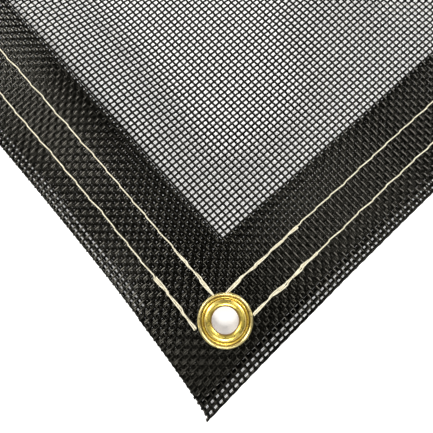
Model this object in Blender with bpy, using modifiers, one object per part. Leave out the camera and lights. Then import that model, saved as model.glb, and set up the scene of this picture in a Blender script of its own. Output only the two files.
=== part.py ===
"""A small mesh tarp that lies on a flat surface.

The cloth is one square sheet of vinyl-coated open-weave mesh. Its hem is the same sheet, folded twice on all four
sides: the top layer turns under at the outer fold, runs back as the bottom layer, turns up at the inner fold and ends
in a raw edge between the two. A two-piece brass grommet is set in each corner.

Metres, +Z up. The origin is at the middle of the tarp, on the surface that it lies on.
"""

from collections import namedtuple
from math import cos, exp, hypot, pi, radians, sin

import bmesh
import bpy

MM = 0.001

# The sheet and its hem
SIDE = 360 * MM
HALF = SIDE / 2
CLOTH = 1.0 * MM
GAP = 0.3 * MM
HEM = 50.4 * MM
TUCK = 6.5 * MM  # the raw edge stops this far inside the outer fold
LAYER = CLOTH + GAP
BOTTOM_Z = CLOTH / 2
MIDDLE_Z = BOTTOM_Z + LAYER
TOP_Z = MIDDLE_Z + LAYER
HEM_THICKNESS = 3 * CLOTH + 2 * GAP
INNER_FOLD_END = 0.1 * MM  # the raw flap starts this far inside the inner fold's middle
SETTLE = 48 * MM  # the sheet sinks from the hem's top to the ground over this width
BODY_CELLS = 20

# The grommets, turned about their own vertical axis
GROMMET_X, GROMMET_Y = 28.2 * MM, 23.2 * MM  # from the hem's outer edges to the grommet's axis
BORE_R = 6.1 * MM
BRASS = 0.5 * MM
BARREL_R = BORE_R + BRASS
BARREL_FLARE = 0.6 * MM  # the bore's lower edge is rounded off by this much
FLANGE_R = 12.4 * MM
LIP_R = 9.4 * MM
LIP_RISE = 1.1 * MM
WASHER_DISH = 0.15 * MM  # the washer is this much lower under the lip
WASHER_SLOPE = 0.2 * MM
WASHER_BEVEL, WASHER_DROP = 0.6 * MM, 0.25 * MM
ROUND_STEPS = 28
GROMMET_LIFT = BRASS + GAP  # the flange under the hem holds it off the ground
LIFT_FLAT, LIFT_END = 32 * MM, 60 * MM
WASHER_Z = GROMMET_LIFT + HEM_THICKNESS + GAP
LIP_Z = WASHER_Z + BRASS + GAP
HOLE_R = BARREL_R + GAP

# Low, soft folds. x and y are from the tarp's middle, turn is in degrees from +X, and height is at the crest.
Fold = namedtuple("Fold", "x y half_length half_width turn height")
FOLDS = (
    Fold(-128 * MM, -12 * MM, 105 * MM, 46 * MM, 90, 4.4 * MM),
    Fold(10 * MM, -72 * MM, 82 * MM, 48 * MM, 24, 3.6 * MM),
    Fold(72 * MM, 14 * MM, 120 * MM, 46 * MM, 52, 4.2 * MM),
    Fold(-30 * MM, 112 * MM, 110 * MM, 44 * MM, 8, 3.4 * MM),
    Fold(150 * MM, -30 * MM, 70 * MM, 60 * MM, 90, 2.4 * MM),
)

# Each edge strays outwards by start * exp(-d / start_reach) + end * exp(-d' / end_reach) - slack, with d counted from
# its corner at the front left or back right, and d' from its other corner. Opposite edges match, so the tarp's box
# stays centred.
Stray = namedtuple("Stray", "start start_reach end end_reach slack")
SIDE_STRAY = Stray(7.6 * MM, 50 * MM, 2.6 * MM, 40 * MM, 1.6 * MM)  # the edges at -X and +X
END_STRAY = Stray(5.8 * MM, 90 * MM, 2.4 * MM, 40 * MM, 1.4 * MM)  # the edges at -Y and +Y

CORNERS = {
    "front_left": (-1, -1),
    "front_right": (1, -1),
    "back_right": (1, 1),
    "back_left": (-1, 1),
}


def clear_scene():
    for old in list(bpy.data.objects):
        bpy.data.objects.remove(old)


def collection(name):
    made = bpy.data.collections.new(name)
    bpy.context.scene.collection.children.link(made)
    return made


def material(name, colour, roughness, metallic):
    made = bpy.data.materials.new(name)
    made.use_nodes = True
    shader = made.node_tree.nodes["Principled BSDF"]
    shader.inputs["Base Color"].default_value = (*colour, 1)
    shader.inputs["Roughness"].default_value = roughness
    shader.inputs["Metallic"].default_value = metallic
    return made


def eased(share):
    """0 up to a share of 0 and 1 from a share of 1, with a smooth S between them."""
    share = min(max(share, 0.0), 1.0)
    return share * share * (3 - 2 * share)


def fold_height(x, y):
    """How far the soft folds lift the sheet at a point."""
    height = 0.0
    for fold in FOLDS:
        turn = radians(fold.turn)
        along = (x - fold.x) * cos(turn) + (y - fold.y) * sin(turn)
        across = (y - fold.y) * cos(turn) - (x - fold.x) * sin(turn)
        distance = min(hypot(along / fold.half_length, across / fold.half_width), 1.0)
        height += fold.height * (0.5 + 0.5 * cos(pi * distance))
    return height


def grommet_places():
    """The grommets' axes, by corner."""
    return {name: (sx * (HALF - GROMMET_X), sy * (HALF - GROMMET_Y)) for name, (sx, sy) in CORNERS.items()}


def grommet_lift(x, y):
    """How far the nearest grommet's flange holds the hem off the ground."""
    nearest = min(hypot(x - gx, y - gy) for gx, gy in grommet_places().values())
    return GROMMET_LIFT * eased((LIFT_END - nearest) / (LIFT_END - LIFT_FLAT))


def settling(x, y):
    """1 at the hem and 0 where the sheet has sunk to the ground."""
    from_side = (HALF - HEM - abs(x)) / SETTLE
    from_end = (HALF - HEM - abs(y)) / SETTLE
    return 1 - eased(from_side) * eased(from_end)


def body_height(x, y):
    """The height of the sheet's middle inside the hem."""
    return BOTTOM_Z + (TOP_Z - BOTTOM_Z) * settling(x, y)


def stray(rule, from_start, from_end):
    return (
        rule.start * exp(-max(from_start, 0.0) / rule.start_reach)
        + rule.end * exp(-max(from_end, 0.0) / rule.end_reach)
        - rule.slack
    )


def strayed(x, y):
    """Where a point of the square sheet lies once its edges have strayed. Only the hem's width stretches."""
    side_share = max(0.0, 1 - (HALF - abs(x)) / HEM)
    end_share = max(0.0, 1 - (HALF - abs(y)) / HEM)
    sx, sy = (1 if x > 0 else -1), (1 if y > 0 else -1)
    side = stray(SIDE_STRAY, HALF - sx * y, HALF + sx * y)
    end = stray(END_STRAY, HALF - sy * x, HALF + sy * x)
    return x + sx * side_share * side, y + sy * end_share * end


def arc(middle_s, middle_z, radius, start, steps):
    """The points of a half turn after its first: s is from the outer edge, and the angles are from +s, in degrees."""
    turns = (radians(start + 180 * step / steps) for step in range(1, steps + 1))
    return [(middle_s + radius * cos(turn), middle_z + radius * sin(turn)) for turn in turns]


def straight(start_s, end_s, z, spans):
    return [(start_s + (end_s - start_s) * step / spans, z) for step in range(1, spans + 1)]


def hem_route():
    """The hem's folded section from the sheet's body to its raw edge: (distance inside the outer edge, height)."""
    outer_s = LAYER + CLOTH / 2
    inner_s = HEM - (LAYER + CLOTH) / 2
    return [
        *straight(HEM, outer_s, TOP_Z, 3),
        *arc(outer_s, MIDDLE_Z, LAYER, 90, 4),
        *straight(outer_s, inner_s, BOTTOM_Z, 3),
        *arc(inner_s, (BOTTOM_Z + MIDDLE_Z) / 2, LAYER / 2, -90, 3)[:-1],
        *straight(inner_s + INNER_FOLD_END, TUCK, MIDDLE_Z, 3),
    ]


def cloth_sheet():
    """The middle surface of the whole folded sheet, as one open mesh."""
    mesh = bpy.data.meshes.new("cloth")
    bm = bmesh.new()
    bmesh.ops.create_grid(bm, x_segments=BODY_CELLS, y_segments=BODY_CELLS, size=HALF - HEM)
    for vert in bm.verts:
        vert.co.z = body_height(vert.co.x, vert.co.y)
    rim = [edge for edge in bm.edges if edge.is_boundary]
    reached = HEM
    for distance, height in hem_route():
        made = bmesh.ops.extrude_edge_only(bm, edges=rim)["geom"]
        rim = [item for item in made if isinstance(item, bmesh.types.BMEdge)]
        grow = (HALF - distance) / (HALF - reached)
        for vert in (item for item in made if isinstance(item, bmesh.types.BMVert)):
            vert.co.x *= grow
            vert.co.y *= grow
            vert.co.z = height
        reached = distance
    for vert in bm.verts:
        x, y, z = vert.co
        z += fold_height(x, y) + grommet_lift(x, y)
        vert.co = (*strayed(x, y), z)
    bmesh.ops.recalc_face_normals(bm, faces=bm.faces)
    bm.to_mesh(mesh)
    bm.free()
    return mesh


def grommet_hole(name, place, where):
    """A cutter for one grommet's hole through the hem's layers."""
    mesh = bpy.data.meshes.new(name)
    bm = bmesh.new()
    bmesh.ops.create_cone(
        bm, cap_ends=True, segments=ROUND_STEPS, radius1=HOLE_R, radius2=HOLE_R, depth=4 * HEM_THICKNESS
    )
    bm.to_mesh(mesh)
    bm.free()
    cutter = bpy.data.objects.new(name, mesh)
    cutter.location = (*place, HEM_THICKNESS / 2)
    cutter.display_type = "WIRE"
    cutter.hide_render = True
    where.objects.link(cutter)
    return cutter


def make_cloth(where, cutters, finish):
    cloth = bpy.data.objects.new("cloth", cloth_sheet())
    cloth.data.materials.append(finish)
    where.objects.link(cloth)
    body = cloth.modifiers.new("thickness", "SOLIDIFY")
    body.thickness = CLOTH
    body.offset = 0
    body.use_even_offset = True
    for corner, place in grommet_places().items():
        cut = cloth.modifiers.new("hole_" + corner, "BOOLEAN")
        cut.operation = "DIFFERENCE"
        cut.solver = "EXACT"
        cut.object = grommet_hole("hole_" + corner, place, cutters)
    return cloth


def turned(name, profile, place, where, finish):
    """A ring turned about the vertical through place. Its profile is a closed loop, running down its outer side."""
    mesh = bpy.data.meshes.new(name)
    bm = bmesh.new()
    verts = [bm.verts.new((r, 0, z)) for r, z in profile]
    for start, end in zip(verts, verts[1:] + verts[:1]):
        bm.edges.new((start, end))
    bm.to_mesh(mesh)
    bm.free()
    ring = bpy.data.objects.new(name, mesh)
    ring.location = (*place, 0)
    ring.data.materials.append(finish)
    where.objects.link(ring)
    turn = ring.modifiers.new("turn", "SCREW")
    turn.axis = "Z"
    turn.angle = 2 * pi
    turn.steps = turn.render_steps = ROUND_STEPS
    turn.use_merge_vertices = True
    turn.merge_threshold = 0.05 * MM
    turn.use_smooth_shade = True
    return ring


def lip_profile():
    """The rolled lip's outer outline, from the bore over its crown to its outer foot."""
    middle_r = (BORE_R + LIP_R) / 2
    half_width = (LIP_R - BORE_R) / 2
    turns = (radians(180 - 180 * step / 8) for step in range(9))
    return [(middle_r + half_width * cos(turn), LIP_Z + LIP_RISE * sin(turn)) for turn in turns]


def eyelet_profile():
    """The flange under the hem, the barrel through it and the lip rolled over on top."""
    return [
        *lip_profile(),
        (BARREL_R, LIP_Z),
        (BARREL_R, BRASS),
        (FLANGE_R, BRASS),
        (FLANGE_R, 0),
        (BORE_R + BARREL_FLARE, 0),
        (BORE_R, BARREL_FLARE),
    ]


def washer_profile():
    """A ring that is dished under the lip, flat round it, and bent down a little at its outer edge."""
    top = WASHER_Z + BRASS
    return [
        (BARREL_R + GAP, top - WASHER_DISH),
        (LIP_R, top - WASHER_DISH),
        (LIP_R + WASHER_SLOPE, top),
        (FLANGE_R - WASHER_BEVEL, top),
        (FLANGE_R, top - WASHER_DROP),
        (FLANGE_R, WASHER_Z),
        (BARREL_R + GAP, WASHER_Z),
    ]


def main():
    clear_scene()
    tarp = collection("mesh_tarp")
    cutters = collection("cutters")
    vinyl = material("black_vinyl_mesh", (0.012, 0.012, 0.010), 0.45, 0)
    brass = material("polished_brass", (0.84, 0.60, 0.20), 0.22, 1)
    make_cloth(tarp, cutters, vinyl)
    for corner, place in grommet_places().items():
        turned("eyelet_" + corner, eyelet_profile(), place, tarp, brass)
        turned("washer_" + corner, washer_profile(), place, tarp, brass)


main()
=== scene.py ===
"""The looks of a small mesh tarp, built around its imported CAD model.

The sheet is woven yarn by yarn from black vinyl-coated yarn. Its hem is the same sheet folded
twice, sewn with two rows of cream thread, and a two-piece brass grommet is set in each corner.
Places on the sheet are given as (p, q, h): p and q count columns and rows of yarn from the sheet's
front left corner, and h is the height off the middle of the cloth, towards the side that faces up
in the body. One function, placed, folds and lays the sheet, so the yarns of the body and of the
hem's three layers are all made the same way.

Metres, +Z up, in the CAD model's frame: the origin is at the tarp's middle, on the surface that it
lies on.
"""

from collections import namedtuple
from math import cos, pi, radians, sin

import bpy
import numpy as np
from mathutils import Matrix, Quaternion, Vector


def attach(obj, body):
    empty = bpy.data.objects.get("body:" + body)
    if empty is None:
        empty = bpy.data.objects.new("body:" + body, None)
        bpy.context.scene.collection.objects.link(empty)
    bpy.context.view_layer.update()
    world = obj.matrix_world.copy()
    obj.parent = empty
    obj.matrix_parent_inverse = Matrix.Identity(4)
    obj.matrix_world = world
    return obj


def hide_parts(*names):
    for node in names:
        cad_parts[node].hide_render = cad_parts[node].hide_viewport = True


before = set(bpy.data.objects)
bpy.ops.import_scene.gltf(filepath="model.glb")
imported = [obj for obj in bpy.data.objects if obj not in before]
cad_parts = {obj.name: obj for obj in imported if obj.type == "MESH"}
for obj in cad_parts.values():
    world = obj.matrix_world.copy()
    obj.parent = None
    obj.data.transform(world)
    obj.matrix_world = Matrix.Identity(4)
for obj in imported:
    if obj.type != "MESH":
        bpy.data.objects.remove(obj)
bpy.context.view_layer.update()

MM = 0.001
SEED = 7

# The sheet, its folds and its edges. They are the CAD model's, apart from the height of the hem's
# middle layer and the tuck of the side hems.
SIDE = 360 * MM
HALF = SIDE / 2
CLOTH = 1.0 * MM  # how thick it is in the CAD model
LAYER = 1.3 * MM  # the radius of the hem's outer fold, and half the height from bottom to top
HEM = 50.4 * MM
# From the outer edge to the raw one that is hidden inside: in the side hems and in the end hems
TUCKS = (3.6 * MM, 6.5 * MM)
# The heights of the hem's layers. The middle one is pressed into the top one.
BOTTOM_Z, MIDDLE_Z, TOP_Z = 0.5 * MM, 2.4 * MM, 3.1 * MM
INNER_R = (MIDDLE_Z - BOTTOM_Z) / 2  # of the inner fold
OUTER_S = LAYER + CLOTH / 2  # from the outer edge to the middle of the outer fold
INNER_S = HEM - (LAYER + CLOTH) / 2  # from the outer edge to the middle of the inner fold
SETTLE = 48 * MM  # how far inside the hem the body has sunk to the ground

# A soft fold: a rounded rise about (x, y), with its length turned from +X by some degrees
Fold = namedtuple("Fold", "x y half_length half_width turn height")
FOLDS = (
    Fold(-128 * MM, -12 * MM, 105 * MM, 46 * MM, 90, 4.4 * MM),
    Fold(10 * MM, -72 * MM, 82 * MM, 48 * MM, 24, 3.6 * MM),
    Fold(72 * MM, 14 * MM, 120 * MM, 46 * MM, 52, 4.2 * MM),
    Fold(-30 * MM, 112 * MM, 110 * MM, 44 * MM, 8, 3.4 * MM),
    Fold(150 * MM, -30 * MM, 70 * MM, 60 * MM, 90, 2.4 * MM),
)

# How far an edge lies outside the square: its start and its end stray outwards, each over about its
# reach, and the slack draws all of it in
Stray = namedtuple("Stray", "start start_reach end end_reach slack")
SIDE_STRAY = Stray(7.6 * MM, 50 * MM, 2.6 * MM, 40 * MM, 1.6 * MM)
END_STRAY = Stray(5.8 * MM, 90 * MM, 2.4 * MM, 40 * MM, 1.4 * MM)

# The weave
COLUMNS, ROWS = 128, 144
HEM_COLUMNS, HEM_ROWS = 18, 20  # those in the width of a side hem and of an end hem
# Each hem's side, the axis that crosses it, and which way along that axis is outwards
HEMS = (("left", 0, -1), ("right", 0, 1), ("front", 1, -1), ("back", 1, 1))
PITCHES = PITCH_X, PITCH_Y = SIDE / COLUMNS, SIDE / ROWS
HEM_WIDTHS = (HEM_COLUMNS * PITCH_X, HEM_ROWS * PITCH_Y)
YARN_WIDTH, YARN_THICKNESS = 1.02 * MM, 0.60 * MM
CRIMP = 0.12 * MM  # how far a yarn rises over one crossing and dips under the next
FLATNESS = 1.45  # above 1, a yarn runs flat over each crossing and changes height between them
FLAT_HALF = 0.24  # half the length of that flat, in crossings
JITTER = 0.07 * MM  # how far a yarn may lie to either side of its place
# The jitter is a sine, in radians, of so much of the square of a yarn's number and of the number
JITTER_SQUARE, JITTER_LINE = 1.7, 2.3
# How far the raw ends of the end hems' rows stand out past the sheet's edge, in pitches, or stop
# short of it: least, most, and how much more some do at the corner, within FRAY_REACH of the outer
# edge
RAW_LEAST, RAW_MOST, RAW_FRAY = -0.30, -0.22, 0.55
FRAY_REACH = 15 * MM

# The grommets
GROMMET_X, GROMMET_Y = 28.2 * MM, 23.2 * MM  # from the sheet's edges to a grommet's axis
BORE_R, BARREL_R, LIP_R, FLANGE_R = 6.1 * MM, 6.6 * MM, 9.4 * MM, 12.4 * MM
WASHER_Z, LIP_Z = 4.7 * MM, 5.5 * MM
GROMMET_LIFT = 0.8 * MM  # how far a grommet's flange lifts the hem
LIFT_FLAT, LIFT_END = 32 * MM, 60 * MM  # how far from the axis the whole lift goes, and any lift
YARNS_END = 7.6 * MM  # the yarns are cut this far from a grommet's axis, under the washer
CORNERS = {
    "front_left": (-1, -1),
    "front_right": (1, -1),
    "back_right": (1, 1),
    "back_left": (-1, 1),
}

# How far the hem's lower layers lie off the grid of its top one, in yarn pitches: how much of that
# comes in the outer fold, on the underside and in the inner fold, and how it wanders along the hem
Drift = namedtuple("Drift", "outer_fold underside inner_fold wander wander_length phase")
# Where the underside starts to drift, measured from the outer fold, over what length it does, and
# the drift both ways
Lower = namedtuple("Lower", "start reach along across")
LOWER_LAYERS = (  # the side hems' and the end hems'
    Lower(
        start=-4 * MM,
        reach=4 * MM,
        along=Drift(0.14, 0.16, 0.22, 0.02, 74 * MM, 0.4),
        across=Drift(0.30, 0.14, 0.10, 0.02, 53 * MM, 2.1),
    ),
    Lower(
        start=2.4 * MM,
        reach=3 * MM,
        along=Drift(0.08, 0.17, 0.27, 0.02, 74 * MM, 0.4),
        across=Drift(0.30, 0.45, -0.25, 0.02, 53 * MM, 2.1),
    ),
)


def eased(share):
    """0 up to a share of 0 and 1 from a share of 1, with a smooth S between them."""
    share = np.clip(share, 0, 1)
    return share * share * (3 - 2 * share)


def fold_height(x, y):
    """How far the soft folds lift the sheet at each point."""
    height = np.zeros(np.broadcast(x, y).shape)
    for fold in FOLDS:
        turn = radians(fold.turn)
        along = (x - fold.x) * cos(turn) + (y - fold.y) * sin(turn)
        across = (y - fold.y) * cos(turn) - (x - fold.x) * sin(turn)
        distance = np.minimum(np.hypot(along / fold.half_length, across / fold.half_width), 1)
        height += fold.height * (0.5 + 0.5 * np.cos(pi * distance))
    return height


def grommet_places():
    """The grommets' axes, by corner."""
    x, y = HALF - GROMMET_X, HALF - GROMMET_Y
    return {name: (side * x, end * y) for name, (side, end) in CORNERS.items()}


def grommet_distance(x, y):
    """How far each point is from the axis of the nearest grommet."""
    return np.minimum.reduce([np.hypot(x - gx, y - gy) for gx, gy in grommet_places().values()])


def stray(rule, from_start, from_end):
    """How far outwards an edge lies at a distance from its start and its end."""
    return (
        rule.start * np.exp(-np.maximum(from_start, 0) / rule.start_reach)
        + rule.end * np.exp(-np.maximum(from_end, 0) / rule.end_reach)
        - rule.slack
    )


def strayed(x, y):
    """Where points of the square sheet lie once its edges have strayed.

    Only the hem's width stretches.
    """
    side_share = np.maximum(0, 1 - (HALF - abs(x)) / HEM)
    end_share = np.maximum(0, 1 - (HALF - abs(y)) / HEM)
    sx, sy = np.where(x > 0, 1, -1), np.where(y > 0, 1, -1)
    side = stray(SIDE_STRAY, HALF - sx * y, HALF + sx * y)
    end = stray(END_STRAY, HALF - sy * x, HALF + sy * x)
    return x + sx * side_share * side, y + sy * end_share * end


def laid(x, y, z):
    """Points of the flat, hemmed sheet once folds and grommets lift it and its edges stray."""
    lift = GROMMET_LIFT * eased((LIFT_END - grommet_distance(x, y)) / (LIFT_END - LIFT_FLAT))
    z = z + fold_height(x, y) + lift
    return np.stack(np.broadcast_arrays(*strayed(x, y), z), axis=-1)


def body_height(x, y):
    """The height of the sheet inside its hem, where it sinks from the hem's top to the ground."""
    settled = eased((HALF - HEM - abs(x)) / SETTLE) * eased((HALF - HEM - abs(y)) / SETTLE)
    return TOP_Z - (TOP_Z - BOTTOM_Z) * settled


def hem_section(along, h, width):
    """The hem's folded section: (distance inside the outer edge, height) of each point.

    along is how far the point is from the hem's inner edge, measured on the cloth, and width is how
    wide the hem is.
    """
    outer = along - (width - OUTER_S)
    bottom = outer - pi * LAYER
    inner = bottom - (INNER_S - OUTER_S)
    middle = inner - pi * INNER_R
    outer_turn, inner_turn = outer / LAYER, inner / INNER_R
    where = [middle > 0, inner > 0, bottom > 0, outer > 0]
    distance = np.select(
        where,
        [
            INNER_S - middle,
            INNER_S + (INNER_R + h) * np.sin(inner_turn),
            OUTER_S + bottom,
            OUTER_S - (LAYER + h) * np.sin(outer_turn),
        ],
        width - along,
    )
    height = np.select(
        where,
        [
            MIDDLE_Z + h,
            BOTTOM_Z + INNER_R - (INNER_R + h) * np.cos(inner_turn),
            BOTTOM_Z - h,
            BOTTOM_Z + LAYER + (LAYER + h) * np.cos(outer_turn),
        ],
        TOP_Z + h,
    )
    return distance, height


def drifted(layers, rule, along, beside, width, pitch):
    """How far the lower layers lie off the grid of the top one."""
    fold_start = width - OUTER_S
    underside_start = fold_start + pi * LAYER
    inner_start = underside_start + INNER_S - OUTER_S
    fold = eased((along - fold_start) / (pi * LAYER))
    underside = eased((along - underside_start - layers.start) / layers.reach)
    inner = eased((along - inner_start) / (pi * INNER_R))
    wander = rule.wander * np.sin(2 * pi * beside / rule.wander_length + rule.phase)
    drift = fold * rule.outer_fold + underside * rule.underside + inner * rule.inner_fold
    return pitch * (drift + (underside + inner) * wander)


def placed(p, q, h, hem_axis):
    """Where the cloth's points lie.

    hem_axis is None in the body, 0 in a side hem and 1 in an end hem.
    """
    flat = [(p - COLUMNS / 2) * PITCH_X, (q - ROWS / 2) * PITCH_Y]
    if hem_axis is None:
        z = body_height(*flat) + h
    else:
        pitch, beside_pitch = PITCHES[hem_axis], PITCHES[1 - hem_axis]
        width = HEM_WIDTHS[hem_axis]
        outward, beside = flat[hem_axis], flat[1 - hem_axis]
        along = abs(outward) - (HALF - width)
        distance, z = hem_section(along, h, width)
        layers = LOWER_LAYERS[hem_axis]
        across_drift = drifted(layers, layers.across, along, beside, width, pitch)
        along_drift = drifted(layers, layers.along, along, beside, width, beside_pitch)
        flat[hem_axis] = np.sign(outward) * (HALF - (distance + across_drift))
        flat[1 - hem_axis] = beside + along_drift
    return laid(*flat, z)


# --- Tubes of yarn and thread ---------------------------------------------------------------------

Tubes = namedtuple("Tubes", "points walls caps")


def tubes(rings, kept):
    """Closed tubes through rings of points, (tube, ring, point, 3).

    kept marks the spans that are made.
    """
    count, length, sides = rings.shape[:3]
    first = (np.arange(count)[:, None] * length + np.arange(length)) * sides
    here, after = np.arange(sides), np.roll(np.arange(sides), -1)
    start = first[:, :-1][kept][:, None]
    walls = [start + here, start + after, start + after + sides, start + here + sides]
    padded = np.pad(kept, ((0, 0), (1, 1)))
    opens = first[~padded[:, :-1] & padded[:, 1:]][:, None] + here[::-1]
    closes = first[padded[:, :-1] & ~padded[:, 1:]][:, None] + here
    walls = np.stack(walls, axis=-1).reshape(-1, 4)
    return Tubes(rings.reshape(-1, 3), walls, np.concatenate([opens, closes]))


def joined(parts):
    """Several sets of tubes with the same number of sides, as one."""
    offsets = np.cumsum([0] + [len(part.points) for part in parts[:-1]])
    return Tubes(
        np.concatenate([part.points for part in parts]),
        np.concatenate([part.walls + offset for part, offset in zip(parts, offsets)]),
        np.concatenate([part.caps + offset for part, offset in zip(parts, offsets)]),
    )


def mesh_object(name, points, *faces, creased=None):
    """A smooth-shaded object from points and arrays of faces.

    Points that no face uses are left out. An edge between two points marked in creased is shaded as
    a sharp one.
    """
    corners = np.concatenate([part.ravel() for part in faces])
    used, corners = np.unique(corners, return_inverse=True)
    totals = np.concatenate([np.full(len(part), part.shape[1]) for part in faces])
    mesh = bpy.data.meshes.new(name)
    mesh.vertices.add(len(used))
    mesh.vertices.foreach_set("co", points[used].astype(np.float32).ravel())
    mesh.loops.add(len(corners))
    mesh.loops.foreach_set("vertex_index", corners.astype(np.int32).ravel())
    mesh.polygons.add(len(totals))
    mesh.polygons.foreach_set("loop_start", (np.cumsum(totals) - totals).astype(np.int32))
    mesh.update(calc_edges=True)
    mesh.shade_smooth()
    if creased is not None:
        ends = np.empty(len(mesh.edges) * 2, np.int32)
        mesh.edges.foreach_get("vertices", ends)
        sharp = creased[used][ends.reshape(-1, 2)].all(axis=1)
        mesh.attributes.new("sharp_edge", "BOOLEAN", "EDGE").data.foreach_set("value", sharp)
    made = bpy.data.objects.new(name, mesh)
    bpy.context.scene.collection.objects.link(made)
    return made


# --- The weave ------------------------------------------------------------------------------------

# A yarn's section, across and up, in half widths and half thicknesses. Its two sides are creased,
# so that its top is shaded as a shallow curve, and so are its cut ends.
YARN_SECTION = np.array([(-1, 0), (0, 1), (1, 0), (0, -1)])
FINE_CROSSINGS = 19  # from a hem's inner edge to where its yarns are coarser, by its outer fold


def wave(position):
    """The height of a yarn at a position in crossings: 1 over a crossing and -1 under the next."""
    return np.clip(FLATNESS * np.sin(pi * position), -1, 1)


def stations(first, last):
    """Where a fine yarn's rings are, in crossings: two on each flat, and one at each end."""
    middles = np.arange(first, last) + 0.5
    flats = np.sort(np.concatenate([middles - FLAT_HALF, middles + FLAT_HALF]))
    return np.concatenate([[first], flats, [last]])


def coarse_stations(first, last):
    """Where a coarse yarn's rings are: one on each crossing, and one at each end."""
    return np.concatenate([[first], np.arange(first, last) + 0.5, [last]])


def yarns(p, q, run_along_q, hem_axis):
    """Tubes along lines through (p, q), which are (yarn, ring) arrays.

    Each yarn has its own small jitter.
    """
    across, up = YARN_SECTION.T * [[YARN_WIDTH / 2], [YARN_THICKNESS / 2]]
    h = CRIMP * wave(p) * wave(q)
    number = np.floor(p[:, 0] if run_along_q else q[:, 0])
    jitter = (JITTER * np.sin(JITTER_SQUARE * number**2 + JITTER_LINE * number))[:, None, None]
    if run_along_q:
        p = p[..., None] + (across + jitter) / PITCH_X
        q = q[..., None]
    else:
        h = -h
        p = p[..., None]
        q = q[..., None] + (jitter - across) / PITCH_Y
    rings = placed(p, q, h[..., None] + up, hem_axis)
    middles = rings.mean(axis=2)
    clear = grommet_distance(middles[..., 0], middles[..., 1]) > YARNS_END
    return tubes(rings, clear[:, :-1] & clear[:, 1:])


def cloth_object(name, parts):
    """One object from several sets of yarns."""
    cloth = joined(parts)
    creased = np.resize(YARN_SECTION[:, 1] == 0, len(cloth.points))
    creased[cloth.caps] = True
    return mesh_object(name, *cloth, creased=creased)


def lines(fixed, along):
    """Two grids with one row for each line: its fixed place, and the places along it."""
    return np.meshgrid(fixed, along, indexing="ij")


def body_panel(name, first_column, last_column):
    """The part of the sheet inside the hem between two columns."""
    p, q = lines(np.arange(first_column, last_column) + 0.5, stations(HEM_ROWS, ROWS - HEM_ROWS))
    columns = yarns(p, q, True, None)
    q, p = lines(np.arange(HEM_ROWS, ROWS - HEM_ROWS) + 0.5, stations(first_column, last_column))
    rows = yarns(p, q, False, None)
    return cloth_object(name, [columns, rows])


def hem_length(hem_axis):
    """How much cloth the hem takes from its inner edge to its raw one."""
    top, underside = HEM_WIDTHS[hem_axis] - OUTER_S, INNER_S - OUTER_S
    middle = INNER_S - TUCKS[hem_axis]
    return top + pi * LAYER + underside + pi * INNER_R + middle


def hem_stations(count):
    """Where the rings are of a yarn that crosses a hem, which is coarse from FINE_CROSSINGS on."""
    fine, coarse = stations(0, FINE_CROSSINGS), coarse_stations(FINE_CROSSINGS, count)
    return np.concatenate([fine[:-1], coarse[1:]])


def hem_panel(name, hem_axis, outward, generator):
    """One hem, with its top, bottom and middle layers.

    hem_axis is 0 for a side hem and 1 for an end hem, and outward is -1 or 1, along that axis.
    """
    pitch = PITCHES[hem_axis]
    total, hem_count = ((COLUMNS, HEM_COLUMNS), (ROWS, HEM_ROWS))[hem_axis]
    other_total, other_hem = ((ROWS, HEM_ROWS), (COLUMNS, HEM_COLUMNS))[hem_axis]
    raw = hem_axis == 1  # an end hem runs on to the sheet's side edges, where its rows end raw
    first, last = (0, other_total) if raw else (other_hem, other_total - other_hem)
    count = int(hem_length(hem_axis) / pitch)
    inner_edge = hem_count if outward < 0 else total - hem_count

    def outwards(crossings):
        return inner_edge + outward * crossings

    def woven(outward_places, places_along, run_along_q):
        p, q = (outward_places, places_along) if hem_axis == 0 else (places_along, outward_places)
        return yarns(p, q, run_along_q, hem_axis)

    parts = []
    spans = ((0, FINE_CROSSINGS, stations), (FINE_CROSSINGS, count, coarse_stations))
    for begin, end, spread in spans:
        fixed, along = lines(np.sort(outwards(np.arange(begin, end) + 0.5)), spread(first, last))
        if raw:
            edge = abs(fixed[:, 0] - (0 if outward < 0 else total)) * pitch
            fray = RAW_FRAY * eased(1 - edge / FRAY_REACH)
            for tip, way in ((0, -1), (-1, 1)):
                along[:, tip] += way * generator.uniform(RAW_LEAST, RAW_MOST, len(along))
                along[:, tip] += way * fray * generator.uniform(0, 1, len(along))
        parts.append(woven(fixed, along, run_along_q=not raw))
    beside, across = lines(np.arange(first, last) + 0.5, np.sort(outwards(hem_stations(count))))
    parts.append(woven(across, beside, run_along_q=raw))
    return cloth_object(name, parts)


# --- The stitching --------------------------------------------------------------------------------

# Rows of lockstitch along each hem: how far in from the outer edge, and over what length at each
# end the thread is doubled
Row = namedtuple("Row", "hem_axis inset doubled")
SEAMS = (
    Row(0, 17.7 * MM, 28 * MM),
    Row(0, 32.4 * MM, 27 * MM),
    Row(1, 18.2 * MM, 40 * MM),
    Row(1, 32.8 * MM, 45 * MM),
)
STITCH = 9.7 * MM
# Where the thread's rings are, as shares of a stitch
STITCH_STEPS = (0, 0.04, 0.1, 0.2, 0.35, 0.5, 0.65, 0.8, 0.9, 0.96)
THREAD_R = 0.34 * MM
THREAD_SIDES = 5
THREAD_TOP_Z = TOP_Z + CRIMP + YARN_THICKNESS / 2 + 0.7 * THREAD_R  # a little sunk in the yarns
THREAD_UNDER_Z = THREAD_R + 0.05 * MM
THREAD_END = FLANGE_R + 0.35 * MM  # from a grommet's axis, where the rows meet its washer
NEEDLE_DIP = 0.5 * MM  # how far the first thread dips into a needle hole
NEEDLE_REACH = 0.11  # the share of a stitch over which the thread dips into its needle hole
KINK = 0.16 * MM  # how far a needle hole lies off the seam's line
SLANT = 0.20 * MM  # how far a stitch's ends lie to either side of the seam
SLANT_TURN = 0.06  # the share of a stitch over which the thread crosses over at each end
TWIST = 0.52 * MM  # how far the doubled threads wind to either side of the first
TWIST_LENGTH = 26 * MM
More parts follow.
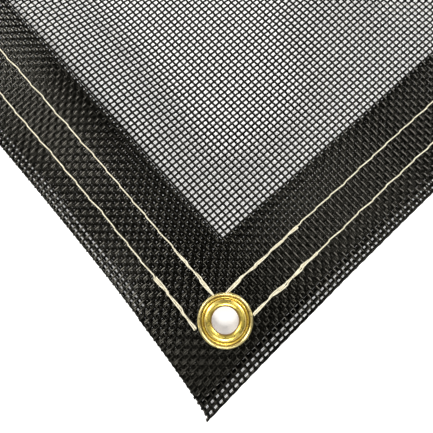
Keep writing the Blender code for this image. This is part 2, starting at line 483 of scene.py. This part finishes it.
TWIST_STARTS = (0.6, 0.6 + 0.8 * pi)  # where the two doubled threads' windings start, in radians
# The doubled threads' mean height over the first, and how far they rise and fall from it
TWIST_LIFT, TWIST_RISE = 0.9 * THREAD_R, 0.8 * THREAD_R
DOUBLED_DIP = 0.5 * NEEDLE_DIP  # how far the doubled threads dip into a needle hole


def seam_line(seam, outward, start, end, twist, generator, z):
    """The centre line of one thread along a seam, between two places along it, as (n, 3) points.

    twist is None, or where a doubled thread's winding starts. z is the thread's height before the
    sheet is laid.
    """
    count = max(int(round((end - start) / STITCH)), 1)
    stitch = (end - start) / count
    steps = np.append(np.add.outer(np.arange(count), STITCH_STEPS), count)
    beside = start + steps * stitch
    share = np.mod(steps, 1)
    into_hole = 1 - eased(np.minimum(share, 1 - share) / NEEDLE_REACH)
    into_cloth = -1 if z > MIDDLE_Z else 1
    holes = np.arange(count + 1)
    kinks = generator.normal(0, KINK, count + 1) + KINK * np.where(holes % 2, 1, -1)
    sideways = np.interp(steps, holes, kinks)
    sideways += SLANT * np.interp(share, (0, SLANT_TURN, 1 - SLANT_TURN, 1), (0, 1, -1, 0))
    if twist is None:
        z = z + into_cloth * NEEDLE_DIP * into_hole
    else:
        turn = 2 * pi * beside / TWIST_LENGTH + twist
        sideways += TWIST * np.sin(turn)
        z = z + TWIST_LIFT + TWIST_RISE * np.cos(turn) + into_cloth * DOUBLED_DIP * into_hole
    flat = [beside, beside]
    flat[seam.hem_axis] = outward * (HALF - seam.inset - sideways)
    return laid(*flat, z)


def thread(path):
    """A closed tube of thread along a path of points."""
    tangent = np.gradient(path, axis=0)
    tangent /= np.linalg.norm(tangent, axis=1, keepdims=True)
    side = np.cross((0, 0, 1), tangent)
    side /= np.linalg.norm(side, axis=1, keepdims=True)
    up = np.cross(tangent, side)
    angles = 2 * pi * np.arange(THREAD_SIDES) / THREAD_SIDES
    rings = path[:, None] + THREAD_R * (
        np.cos(angles)[:, None] * side[:, None] + np.sin(angles)[:, None] * up[:, None]
    )
    return tubes(rings[None], np.ones((1, len(path) - 1), bool))


def seam_reach(seam):
    """How far from its middle a seam runs: up to the washers at its two ends."""
    grommet_along = HALF - (GROMMET_Y, GROMMET_X)[seam.hem_axis]
    off_axis = seam.inset - (GROMMET_X, GROMMET_Y)[seam.hem_axis]
    return grommet_along - np.sqrt(THREAD_END**2 - off_axis**2)


def hem_thread(name, hem_axis, outward, generator):
    """Both seams of one hem, on its top and underside, with the doubled ends by the grommets."""
    parts = []
    for seam in (seam for seam in SEAMS if seam.hem_axis == hem_axis):
        reach = seam_reach(seam)
        for z in (THREAD_TOP_Z, THREAD_UNDER_Z):
            line = seam_line(seam, outward, -reach, reach, None, generator, z)
            parts.append(thread(line))
        for start, end in ((-reach, -reach + seam.doubled), (reach - seam.doubled, reach)):
            for twist in TWIST_STARTS:
                line = seam_line(seam, outward, start, end, twist, generator, THREAD_TOP_Z)
                parts.append(thread(line))
    return mesh_object(name, *joined(parts))


# --- The grommets ---------------------------------------------------------------------------------

ROUND_STEPS, LIP_STEPS, RIDGE_STEPS = 72, 15, 17
LIP_SPRING_Z, LIP_RISE = LIP_Z - 0.25 * MM, 1.2 * MM  # where the rolled lip starts, and its height
# The washer's ridges: the dome round the lip and the rolled rim
Ridge = namedtuple("Ridge", "radius half_width height")
WASHER_RIDGES = (Ridge(10.15 * MM, 0.60 * MM, 0.50 * MM), Ridge(11.65 * MM, 0.80 * MM, 0.65 * MM))


def ridge_height(ridge, r):
    """The height of a rounded ridge at each radius."""
    share = np.clip((r - ridge.radius) / ridge.half_width, -1, 1)
    return ridge.height * np.cos(share * pi / 2) ** 2


def eyelet_profile():
    """(radius, height) round the eyelet's section: lip, barrel and the flange under the hem."""
    middle_r, half_width = (BORE_R + LIP_R) / 2, (LIP_R - BORE_R) / 2
    turns = np.linspace(pi, 0, LIP_STEPS)
    lip_r, lip_z = middle_r + half_width * np.cos(turns), LIP_SPRING_Z + LIP_RISE * np.sin(turns)
    lip = np.stack([lip_r, lip_z], axis=1)
    under = [
        (LIP_R - 0.3 * MM, LIP_Z - 0.4 * MM),
        (BARREL_R, LIP_Z - 0.35 * MM),
        (BARREL_R, 0.75 * MM),
        (BARREL_R + 0.25 * MM, 0.5 * MM),
        (FLANGE_R - 0.2 * MM, 0.5 * MM),
        (FLANGE_R, 0.3 * MM),
        (FLANGE_R - 0.1 * MM, 0.06 * MM),
        (FLANGE_R - 0.4 * MM, 0),
        (BORE_R + 1.2 * MM, 0),
        (BORE_R + 0.5 * MM, 0.12 * MM),
        (BORE_R + 0.12 * MM, 0.5 * MM),
        (BORE_R, 1.1 * MM),
        (BORE_R, LIP_Z - 1.2 * MM),
    ]
    return np.concatenate([lip, under])


def washer_profile():
    """(radius, height) round the washer's section: flat under the lip, then domed, then rimmed."""
    inner = BARREL_R + 0.3 * MM
    ridged = np.linspace(LIP_R + 0.05 * MM, FLANGE_R, RIDGE_STEPS)
    r = np.concatenate([[inner, LIP_R - 0.3 * MM], ridged])
    z = WASHER_Z + 0.3 * MM + sum(ridge_height(ridge, r) for ridge in WASHER_RIDGES)
    top = np.stack([r, z], axis=1)
    under = [(FLANGE_R, WASHER_Z + 0.15 * MM), (FLANGE_R - 0.2 * MM, WASHER_Z), (inner, WASHER_Z)]
    return np.concatenate([top, under])


def turned(name, profile, place):
    """A closed ring, with its section turned about the vertical through place."""
    angles = 2 * pi * np.arange(ROUND_STEPS) / ROUND_STEPS
    spun = np.stack([np.cos(angles), np.sin(angles)], axis=1)
    points = np.empty((ROUND_STEPS, len(profile), 3))
    points[..., :2] = spun[:, None] * profile[None, :, :1]
    points[..., 2] = profile[:, 1]
    index = np.arange(ROUND_STEPS * len(profile)).reshape(ROUND_STEPS, len(profile))
    around, along = np.roll(index, -1, axis=0), np.roll(index, -1, axis=1)
    both = np.roll(around, -1, axis=1)
    faces = np.stack([index, along, both, around], axis=-1).reshape(-1, 4)
    made = mesh_object(name, points.reshape(-1, 3), faces)
    made.location = (*place, 0)
    return made


# --- Materials ------------------------------------------------------------------------------------


class Shader:
    """A Principled material and short ways to add nodes to it."""

    def __init__(self, name, **values):
        self.material = bpy.data.materials.new(name)
        self.material.use_nodes = True
        self.tree = self.material.node_tree
        self.bsdf = self.tree.nodes["Principled BSDF"]
        for socket, value in values.items():
            self.bsdf.inputs[socket.replace("_", " ")].default_value = value
        self.position = self.tree.nodes.new("ShaderNodeTexCoord").outputs["Object"]

    def link(self, source, target):
        self.tree.links.new(source, target)

    def feed(self, socket, source):
        """Links a source to one of the Principled shader's own sockets."""
        self.link(source, self.bsdf.inputs[socket])

    def noise(self, scale, detail=2.0, stretch=(1, 1, 1)):
        """Noise with features about 1 / scale metres across."""
        mapping = self.tree.nodes.new("ShaderNodeMapping")
        mapping.inputs["Scale"].default_value = stretch
        node = self.tree.nodes.new("ShaderNodeTexNoise")
        node.inputs["Scale"].default_value = scale
        node.inputs["Detail"].default_value = detail
        self.link(self.position, mapping.inputs["Vector"])
        self.link(mapping.outputs["Vector"], node.inputs["Vector"])
        return node.outputs["Fac"]

    def ramp(self, source, *stops):
        """A colour ramp with (position, colour) stops."""
        node = self.tree.nodes.new("ShaderNodeValToRGB")
        elements = node.color_ramp.elements
        while len(elements) < len(stops):
            elements.new(0.5)
        for element, (position, colour) in zip(elements, stops):
            element.position = position
            rgb = colour if isinstance(colour, tuple) else (colour, colour, colour)
            element.color = (*rgb, 1)
        self.link(source, node.inputs["Fac"])
        return node.outputs["Color"]

    def bump(self, source, strength, distance):
        node = self.tree.nodes.new("ShaderNodeBump")
        node.inputs["Strength"].default_value = strength
        node.inputs["Distance"].default_value = distance
        self.link(source, node.inputs["Height"])
        self.feed("Normal", node.outputs["Normal"])


def vinyl():
    """Black vinyl coating: nearly black, satin, and slightly uneven from its drawing die."""
    shader = Shader(
        "vinyl",
        Metallic=0.0,
        Specular_IOR_Level=0.32,
        Specular_Tint=(1.0, 0.96, 0.82, 1),
    )
    darker, lighter = (0.0020, 0.0020, 0.0016), (0.0042, 0.0040, 0.0032)
    shader.feed("Base Color", shader.ramp(shader.noise(60, 3), (0.3, darker), (0.7, lighter)))
    shader.feed("Roughness", shader.ramp(shader.noise(420, 2), (0.3, 0.09), (0.7, 0.16)))
    shader.bump(shader.noise(900, 3), 0.4, 0.05 * MM)
    return shader.material


def cream_thread():
    """Spun cream thread, paler where it is worn."""
    shader = Shader("cream_thread", Metallic=0.0, Roughness=0.75, Specular_IOR_Level=0.3)
    darker, paler = (0.62, 0.57, 0.41), (0.88, 0.84, 0.68)
    shader.feed("Base Color", shader.ramp(shader.noise(900, 2), (0.3, darker), (0.7, paler)))
    shader.bump(shader.noise(3000, 1), 0.6, 0.08 * MM)
    return shader.material


# The brass's own gold, a pale gold that is a painted highlight, and two browns that are painted
# shade
GOLD, PAINTED_HIGHLIGHT_GOLD = (0.97, 0.76, 0.17), (1.0, 0.87, 0.42)
BROWN, PAINTED_SHADE_BROWN = (0.50, 0.31, 0.06), (0.16, 0.09, 0.02)
# The brass's colour by its distance from the grommet's axis, in millimetres. The browns are painted
# shade in the grooves and round the bore, and the pale gold is a painted highlight on the lip and
# rim.
EYELET_RINGS = (
    (6.0, PAINTED_SHADE_BROWN),
    (6.35, BROWN),
    (6.9, GOLD),
    (8.6, GOLD),
    (9.1, PAINTED_HIGHLIGHT_GOLD),
    (9.4, GOLD),
)
WASHER_RINGS = (
    (9.45, PAINTED_SHADE_BROWN),
    (9.75, GOLD),
    (10.45, GOLD),
    (10.7, PAINTED_SHADE_BROWN),
    (10.95, PAINTED_SHADE_BROWN),
    (11.2, PAINTED_HIGHLIGHT_GOLD),
    (12.2, PAINTED_HIGHLIGHT_GOLD),
)


def brass(name, rings):
    """Polished brass with fine wear, painted shade in its grooves and painted highlights on its
    rims.

    The rings are measured from a piece's origin, which is on its grommet's axis.
    """
    shader = Shader(name, Metallic=0.9)
    mapping = shader.tree.nodes.new("ShaderNodeMapping")
    mapping.inputs["Scale"].default_value = (1 / FLANGE_R, 1 / FLANGE_R, 0)
    length = shader.tree.nodes.new("ShaderNodeVectorMath")
    length.operation = "LENGTH"
    shader.link(shader.position, mapping.inputs["Vector"])
    shader.link(mapping.outputs["Vector"], length.inputs[0])
    stops = ((r * MM / FLANGE_R, colour) for r, colour in rings)
    by_radius = shader.ramp(length.outputs["Value"], *stops)
    patches = shader.ramp(shader.noise(260, 4), (0.35, (0.80, 0.76, 0.68)), (0.6, 1.0))
    worn = shader.tree.nodes.new("ShaderNodeMix")
    worn.data_type = "RGBA"
    worn.blend_type = "MULTIPLY"
    worn.inputs["Factor"].default_value = 1.0
    colour_inputs = [socket for socket in worn.inputs if socket.type == "RGBA"]
    shader.link(by_radius, colour_inputs[0])
    shader.link(patches, colour_inputs[1])
    mixed = [socket for socket in worn.outputs if socket.type == "RGBA"][0]
    shader.feed("Base Color", mixed)
    shader.feed("Roughness", shader.ramp(shader.noise(700, 3), (0.35, 0.27), (0.7, 0.38)))
    shader.bump(shader.noise(1500, 3), 0.05, 0.02 * MM)
    return shader.material


def floor_paint():
    """A lightbox's white top, which glows a little."""
    shader = Shader(
        "pale_floor",
        Metallic=0.0,
        Roughness=0.9,
        Specular_IOR_Level=0.1,
        Emission_Color=(1, 1, 1, 1),
        Emission_Strength=FLOOR_GLOW,
    )
    shader.feed("Base Color", shader.ramp(shader.noise(3, 2), (0.0, 0.86), (1.0, 0.90)))
    return shader.material


# --- Stage ----------------------------------------------------------------------------------------

VIEW_TARGET = Vector((-123.0, -118.8, 2.4)) * MM
VIEW_DISTANCE = 211.3 * MM
VIEW_AZIMUTH, VIEW_ELEVATION, VIEW_ROLL = -43.4, 78.8, 1.6  # degrees
VIEW_LENS = 37.4
NEAREST = 10 * MM  # what the camera sees starts this far from it

FLOOR_HALF, FLOOR_GAP = 3.0, 0.05 * MM
FLOOR_GLOW = 0.35
# The walls' grey and the ceiling's, with the heights, from 0 level to 1 straight up, between which
# one changes to the other
WORLD_GREYS = ((0.20, 0.30), (0.45, 0.0))

LAMP_COLOUR = (1.0, 0.985, 0.955)
Lamp = namedtuple("Lamp", "name place size watts")
LAMPS = (
    Lamp("low_left", (-0.45, 0.95, 0.60), 0.42, 13.0),
    Lamp("low_right", (1.0, -0.16, 0.50), 0.45, 11.0),
    Lamp("front_softbox", (-0.78, -0.78, 1.1), 0.50, 17.0),
    Lamp("high_left", (-0.30, 0.38, 0.95), 0.35, 1.4),
    Lamp("high_right", (0.30, -0.14, 0.95), 0.30, 1.1),
)


def make_camera():
    """The camera at the photograph's angle, over the front left corner."""
    data = bpy.data.cameras.new("camera")
    data.lens = VIEW_LENS
    data.clip_start = NEAREST
    camera = bpy.data.objects.new("camera", data)
    azimuth, elevation = radians(VIEW_AZIMUTH), radians(VIEW_ELEVATION)
    back = Vector((sin(azimuth) * cos(elevation), -cos(azimuth) * cos(elevation), sin(elevation)))
    camera.location = VIEW_TARGET + back * VIEW_DISTANCE
    camera.rotation_mode = "QUATERNION"
    level = (-back).to_track_quat("-Z", "Y")
    camera.rotation_quaternion = level @ Quaternion((0, 0, 1), radians(VIEW_ROLL))
    bpy.context.scene.collection.objects.link(camera)
    bpy.context.scene.camera = camera


def make_lamps():
    """Square softboxes, all facing what the camera looks at."""
    for lamp in LAMPS:
        data = bpy.data.lights.new(lamp.name, "AREA")
        data.shape = "SQUARE"
        data.size = lamp.size
        data.energy = lamp.watts
        data.color = LAMP_COLOUR
        made = bpy.data.objects.new(lamp.name, data)
        made.location = lamp.place
        made.rotation_mode = "QUATERNION"
        made.rotation_quaternion = (VIEW_TARGET - made.location).to_track_quat("-Z", "Y")
        bpy.context.scene.collection.objects.link(made)


def make_world():
    """A studio with grey walls and a black ceiling."""
    world = bpy.data.worlds.new("studio")
    world.use_nodes = True
    tree = world.node_tree
    direction = tree.nodes.new("ShaderNodeTexCoord").outputs["Generated"]
    split = tree.nodes.new("ShaderNodeSeparateXYZ")
    ramp = tree.nodes.new("ShaderNodeValToRGB")
    for element, (height, grey) in zip(ramp.color_ramp.elements, WORLD_GREYS):
        element.position = height
        element.color = (grey, grey, grey, 1)
    tree.links.new(direction, split.inputs["Vector"])
    tree.links.new(split.outputs["Z"], ramp.inputs["Fac"])
    tree.links.new(ramp.outputs["Color"], tree.nodes["Background"].inputs["Color"])
    bpy.context.scene.world = world


def make_floor():
    """The floor, just under the cloth."""
    corners = FLOOR_HALF * np.array([(-1, -1, 0), (1, -1, 0), (1, 1, 0), (-1, 1, 0)])
    floor = mesh_object("floor", corners, np.array([[0, 1, 2, 3]]))
    floor.location.z = -FLOOR_GAP
    floor.data.materials.append(floor_paint())
    return floor


def finished(piece, material, slot, *nodes):
    """Gives a piece its material, puts it on the root body and hides the CAD nodes it stands for.

    The slot is not used.
    """
    piece.data.materials.append(material)
    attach(piece, "root")
    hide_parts(*nodes)
    return piece


def main():
    scene = bpy.context.scene
    scene.view_settings.view_transform = "Standard"
    generator = np.random.default_rng(SEED)
    make_camera()
    make_lamps()
    make_world()
    floor = make_floor()

    coating, cream = vinyl(), cream_thread()
    eyelet_brass = brass("eyelet_brass", EYELET_RINGS)
    washer_brass = brass("washer_brass", WASHER_RINGS)
    middle = COLUMNS // 2
    for name, first, last in (
        ("mesh_body_left", HEM_COLUMNS, middle),
        ("mesh_body_right", middle, COLUMNS - HEM_COLUMNS),
    ):
        panel = finished(body_panel(name, first, last), coating, "mesh", "cloth")

    for side, hem_axis, outward in HEMS:
        folded = hem_panel("hem_" + side, hem_axis, outward, generator)
        hem = finished(folded, coating, "mesh", "cloth")
        sewn = hem_thread("thread_" + side, hem_axis, outward, generator)
        seams = finished(sewn, cream, "thread")

    for corner, place in grommet_places().items():
        eyelet = turned("brass_eyelet_" + corner, eyelet_profile(), place)
        washer = turned("brass_washer_" + corner, washer_profile(), place)
        finished(eyelet, eyelet_brass, "brass", "eyelet_" + corner)
        finished(washer, washer_brass, "brass", "washer_" + corner)


main()
